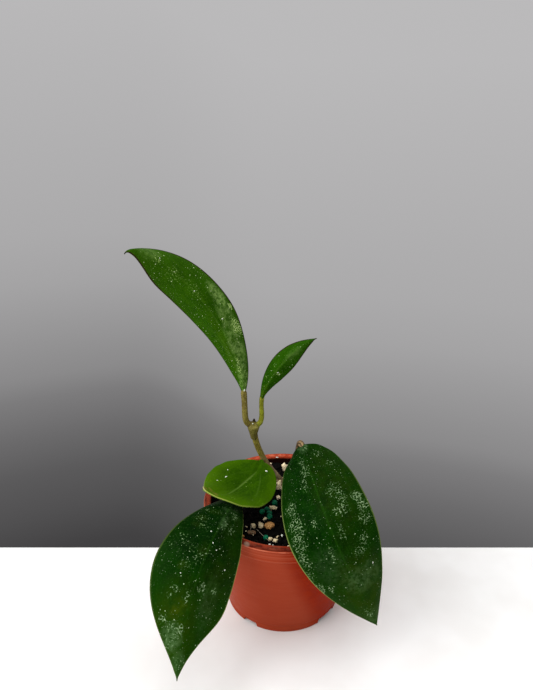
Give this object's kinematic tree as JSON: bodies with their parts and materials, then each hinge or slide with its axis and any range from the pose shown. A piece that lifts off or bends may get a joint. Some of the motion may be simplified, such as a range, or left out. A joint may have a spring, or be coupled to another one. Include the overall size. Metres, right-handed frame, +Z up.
{
  "type": "potted hoya plant",
  "caption": "Young trailing houseplant with stiff speckled leaves on one stem, standing in a small round tapered plastic pot of soil.",
  "frame": {"origin": "middle of the bottom of the whole plant's outer box, on the surface that the pot stands on; the pot's axis is at x 13.9 mm, y 23.5 mm", "axes": "+Z up along the pot's axis, -Y towards the side that the two largest leaves hang over, +X to the right of that side"},
  "size_m": [0.1238, 0.137, 0.2109],
  "materials": {
    "terracotta_plastic": "satin terracotta-coloured moulded plastic",
    "potting_soil": "dark moist potting mix with pale chips and green fertiliser beads",
    "stem_skin": "smooth olive-brown stem skin",
    "dark_leaf": "semi-gloss very dark green leaf with silvery speckles",
    "yellow_green_leaf": "semi-gloss yellow-green leaf",
    "mid_green_leaf": "semi-gloss mid-green leaf with silvery speckles and a thin dark margin",
    "fresh_green_leaf": "semi-gloss fresh green young leaf"
  },
  "bodies": {
    "root": {"pot": "terracotta_plastic", "soil": "potting_soil", "stem": "stem_skin", "leaf_right": "dark_leaf", "leaf_lower_left": "dark_leaf", "leaf_mid_left": "yellow_green_leaf", "leaf_top_left": "mid_green_leaf", "leaf_top_right": "fresh_green_leaf"}
  },
  "joints": []
}
